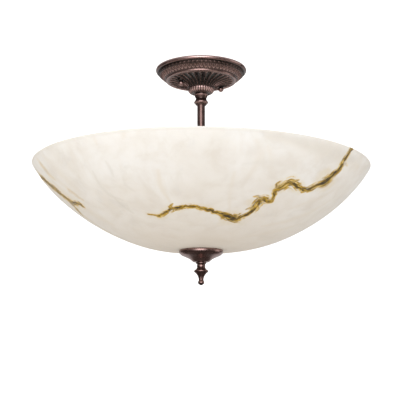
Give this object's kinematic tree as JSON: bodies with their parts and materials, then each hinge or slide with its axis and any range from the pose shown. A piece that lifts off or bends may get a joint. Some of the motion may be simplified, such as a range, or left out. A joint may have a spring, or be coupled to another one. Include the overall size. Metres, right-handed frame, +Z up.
{
  "type": "semi flush ceiling light",
  "caption": "Semi flush ceiling light: a marbled glass bowl on a short stem below a fluted canopy, closed by a bottom cap and a turned finial.",
  "frame": {"origin": "centre of the crossbar's top face, in the plane of the ceiling", "axes": "+Z up into the ceiling, +X along the crossbar through the two canopy nuts; the light hangs below z = 0"},
  "size_m": [0.508, 0.508, 0.3348],
  "materials": {
    "bronze": "antique mahogany bronze, satin",
    "zinc_steel": "zinc plated",
    "green_steel": "green plated",
    "tinned_brass": "tinned",
    "marbled_glass": "ivory marbled glass with golden brown veins, satin outside",
    "rubber_seal": "matt",
    "connector_plastic": "moulded",
    "splice_plastic": "moulded",
    "black_wire": "insulation",
    "white_wire": "insulation",
    "green_wire": "insulation",
    "porcelain": "glazed white",
    "brass_shell": "pressed brass",
    "bulb_glass": "white frosted",
    "bulb_metal": "rolled"
  },
  "bodies": {
    "root": {"arm_nipple_1": "zinc_steel", "arm_nipple_2": "zinc_steel", "arm_nipple_3": "zinc_steel", "arm_nuts": "zinc_steel", "canopy": "bronze", "canopy_nipple": "zinc_steel", "centre_contact_1": "brass_shell", "centre_contact_2": "brass_shell", "centre_contact_3": "brass_shell", "collar": "bronze", "crossbar": "zinc_steel", "ground_lead": "green_wire", "ground_screw": "green_steel", "ground_terminal": "tinned_brass", "hub_body": "bronze", "hub_cover": "bronze", "hub_cover_screws": "bronze", "hub_nipple": "zinc_steel", "hub_top_nut": "zinc_steel", "inner_check_ring": "bronze", "inner_gasket": "rubber_seal", "lead_hot": "black_wire", "lead_neutral": "white_wire", "lower_rod": "zinc_steel", "nipple_hex_nut": "zinc_steel", "nipple_lock_washer": "zinc_steel", "nipple_terminal": "tinned_brass", "rod_lock_washer": "bronze", "rod_nuts": "zinc_steel", "screw_shell_1": "brass_shell", "screw_shell_2": "brass_shell", "screw_shell_3": "brass_shell", "socket_body_1": "porcelain", "socket_body_2": "porcelain", "socket_body_3": "porcelain", "socket_leads": "black_wire", "splice_caps": "splice_plastic", "stem_tube": "bronze", "stud_left": "zinc_steel", "stud_lock_nuts": "zinc_steel", "stud_right": "zinc_steel", "wire_connectors": "connector_plastic"},
    "bowl": {"bowl": "marbled_glass"},
    "cap": {"bottom_cap": "bronze", "outer_gasket": "rubber_seal"},
    "finial": {"finial": "bronze"},
    "washer_left": {"nut_washer_left": "bronze"},
    "nut_left": {"canopy_nut_left": "bronze"},
    "washer_right": {"nut_washer_right": "bronze"},
    "nut_right": {"canopy_nut_right": "bronze"},
    "bulb_1_tip": {"bulb_tip_1": "bulb_metal"},
    "bulb_1": {"bulb_base_1": "bulb_metal", "bulb_glass_1": "bulb_glass"},
    "bulb_2_tip": {"bulb_tip_2": "bulb_metal"},
    "bulb_2": {"bulb_base_2": "bulb_metal", "bulb_glass_2": "bulb_glass"},
    "bulb_3_tip": {"bulb_tip_3": "bulb_metal"},
    "bulb_3": {"bulb_base_3": "bulb_metal", "bulb_glass_3": "bulb_glass"}
  },
  "joints": [
    {"name": "bowl_lower", "type": "slide", "parent": "root", "child": "bowl", "axis": [0, 0, -1], "range_m": [0, 0.17]},
    {"name": "cap_travel", "type": "slide", "parent": "bowl", "child": "cap", "axis": [0, 0, -1], "range_m": [0, 0.0095]},
    {"name": "finial_turn", "type": "hinge", "parent": "cap", "child": "finial", "pos_m": [0, 0, -0.31], "axis": [0, 0, -1], "range_deg": [0, 3600]},
    {"name": "nut_left_travel", "type": "slide", "parent": "root", "child": "washer_left", "axis": [0, 0, -1], "range_m": [0, 0.0048]},
    {"name": "nut_left_turn", "type": "hinge", "parent": "washer_left", "child": "nut_left", "pos_m": [-0.03492, 0, -0.0267], "axis": [0, 0, -1], "range_deg": [0, 2160]},
    {"name": "nut_right_travel", "type": "slide", "parent": "root", "child": "washer_right", "axis": [0, 0, -1], "range_m": [0, 0.0048]},
    {"name": "nut_right_turn", "type": "hinge", "parent": "washer_right", "child": "nut_right", "pos_m": [0.03492, 0, -0.0267], "axis": [0, 0, -1], "range_deg": [0, 2160]},
    {"name": "bulb_1_travel", "type": "slide", "parent": "root", "child": "bulb_1_tip", "axis": [0, 1, 0], "range_m": [0, 0.0219]},
    {"name": "bulb_1_turn", "type": "hinge", "parent": "bulb_1_tip", "child": "bulb_1", "pos_m": [0, 0.06, -0.194], "axis": [0, 1, 0], "range_deg": [0, 2160]},
    {"name": "bulb_2_travel", "type": "slide", "parent": "root", "child": "bulb_2_tip", "axis": [-0.866, -0.5, 0], "range_m": [0, 0.0219]},
    {"name": "bulb_2_turn", "type": "hinge", "parent": "bulb_2_tip", "child": "bulb_2", "pos_m": [-0.05196, -0.03, -0.194], "axis": [-0.866, -0.5, 0], "range_deg": [0, 2160]},
    {"name": "bulb_3_travel", "type": "slide", "parent": "root", "child": "bulb_3_tip", "axis": [0.866, -0.5, 0], "range_m": [0, 0.0219]},
    {"name": "bulb_3_turn", "type": "hinge", "parent": "bulb_3_tip", "child": "bulb_3", "pos_m": [0.05196, -0.03, -0.194], "axis": [0.866, -0.5, 0], "range_deg": [0, 2160]}
  ],
  "couplings": [
    {"joint": "cap_travel", "follows": "finial_turn", "m_per_rad": 0.00014972},
    {"joint": "nut_left_travel", "follows": "nut_left_turn", "m_per_rad": 0.00012633},
    {"joint": "nut_right_travel", "follows": "nut_right_turn", "m_per_rad": 0.00012633},
    {"joint": "bulb_1_travel", "follows": "bulb_1_turn", "m_per_rad": 0.0005775},
    {"joint": "bulb_2_travel", "follows": "bulb_2_turn", "m_per_rad": 0.0005775},
    {"joint": "bulb_3_travel", "follows": "bulb_3_turn", "m_per_rad": 0.0005775}
  ]
}
